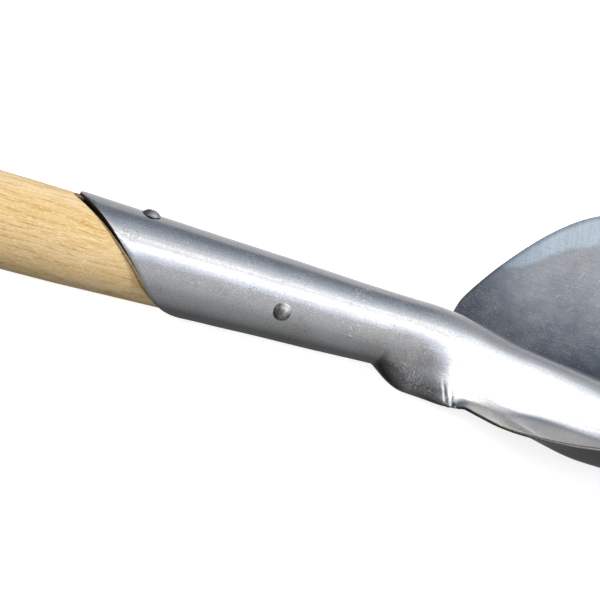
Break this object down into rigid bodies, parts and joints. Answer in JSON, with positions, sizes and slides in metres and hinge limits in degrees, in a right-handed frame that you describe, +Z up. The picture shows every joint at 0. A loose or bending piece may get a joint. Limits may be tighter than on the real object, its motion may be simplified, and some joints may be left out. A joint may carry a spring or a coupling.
{
  "type": "post hole digger",
  "caption": "Long straight wooden handle riveted into the rolled socket of a pressed steel head, whose dished round-pointed blade cuts and lifts soil from a post hole.",
  "frame": {"origin": "on the ground under the middle of the tool's bounding box, with the tool lying face up", "axes": "+X along the handle towards the blade's point, +Z up out of the blade's hollow face, +Y to the left when looking along +X with +Z up"},
  "size_m": [1.5004, 0.2372, 0.0602],
  "materials": {
    "head_steel": "satin polished, finely scratched",
    "ash_wood": "pale straw, open grain, lightly sealed",
    "rivet_steel": "dull, slightly rusted round the heads"
  },
  "bodies": {
    "root": {"blade_head": "head_steel", "handle": "ash_wood", "face_rivet": "rivet_steel", "side_rivet": "rivet_steel"}
  },
  "joints": []
}
